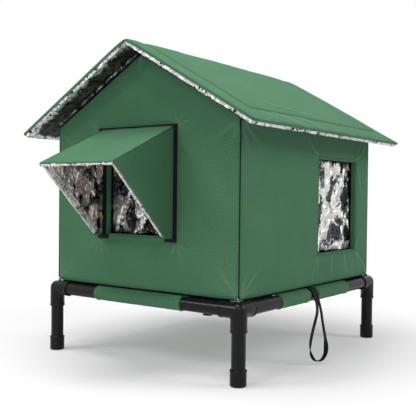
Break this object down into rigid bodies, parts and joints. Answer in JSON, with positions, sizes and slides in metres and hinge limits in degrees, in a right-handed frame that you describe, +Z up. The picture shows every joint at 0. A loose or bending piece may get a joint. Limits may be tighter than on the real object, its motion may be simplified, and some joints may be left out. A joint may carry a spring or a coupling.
{
  "type": "cat house",
  "caption": "Raised outdoor cat house: foil-lined fabric body with pitched roof, awning over a flap doorway and a side opening, on a stand of plastic pipe.",
  "frame": {"origin": "on the floor, under the middle of the house's box, the tie strap left out", "axes": "+X to the right seen from the front, +Y from the front with the awning to the back, +Z up"},
  "size_m": [0.566, 0.717, 0.6129],
  "materials": {
    "green_cover": "matte",
    "foil_foam": "polished",
    "foam_board": "matte",
    "black_pipe": "gloss",
    "black_fitting": "satin",
    "black_tape": "matte",
    "black_strap": "satin"
  },
  "bodies": {
    "base": {"leg_front_left": "black_pipe", "foot_cap_front_left": "black_fitting", "elbow_front_left": "black_fitting", "leg_front_right": "black_pipe", "foot_cap_front_right": "black_fitting", "elbow_front_right": "black_fitting", "leg_rear_left": "black_pipe", "foot_cap_rear_left": "black_fitting", "elbow_rear_left": "black_fitting", "leg_rear_right": "black_pipe", "foot_cap_rear_right": "black_fitting", "elbow_rear_right": "black_fitting", "rail_front": "black_pipe", "rail_rear": "black_pipe", "rail_left": "black_pipe", "rail_right": "black_pipe", "deck_cloth": "green_cover", "floor_cover": "green_cover", "floor_board": "foil_foam", "front_cover": "green_cover", "front_lining": "foil_foam", "back_cover": "green_cover", "back_lining": "foil_foam", "left_cover": "green_cover", "left_lining": "foil_foam", "right_cover": "green_cover", "right_lining": "foil_foam", "corner_piping": "black_tape", "door_binding": "green_cover", "side_opening_binding": "green_cover", "door_header": "foil_foam", "side_header": "foil_foam", "awning_tape_top": "black_tape", "awning_tape_left": "black_tape", "awning_tape_right": "black_tape", "gable_hook_tape": "black_tape", "eave_hook_tape": "black_tape", "tie_strap_ends": "black_strap", "tie_loop": "black_strap"},
    "roof": {"roof_cover_left": "green_cover", "roof_board_left": "foam_board", "roof_lining_left": "foil_foam", "roof_loop_tape_left": "black_tape"},
    "roof_flap": {"roof_cover_right": "green_cover", "roof_board_right": "foam_board", "roof_lining_right": "foil_foam", "roof_loop_tape_right": "black_tape"},
    "awning": {"awning_top": "green_cover", "awning_side_left": "green_cover", "awning_side_right": "green_cover", "awning_lining": "foil_foam"},
    "door_curtain": {"door_flap": "foil_foam"},
    "side_curtain": {"side_flap": "foil_foam"}
  },
  "joints": [
    {"name": "roof_lift", "type": "slide", "parent": "base", "child": "roof", "axis": [0, 0, 1], "range_m": [0, 0.17]},
    {"name": "roof_fold", "type": "hinge", "parent": "roof", "child": "roof_flap", "pos_m": [0, 0, 0.613], "axis": [0, -1, 0], "range_deg": [0, 225]},
    {"name": "awning_lift", "type": "hinge", "parent": "base", "child": "awning", "pos_m": [-0.009, -0.203, 0.45], "axis": [-1, 0, 0], "range_deg": [0, 70]},
    {"name": "door_swing", "type": "hinge", "parent": "base", "child": "door_curtain", "pos_m": [-0.008, -0.189, 0.4362], "axis": [1, 0, 0], "range_deg": [-55, 75]},
    {"name": "side_swing", "type": "hinge", "parent": "base", "child": "side_curtain", "pos_m": [0.215, 0.1685, 0.3982], "axis": [0, 1, 0], "range_deg": [-55, 75]}
  ]
}
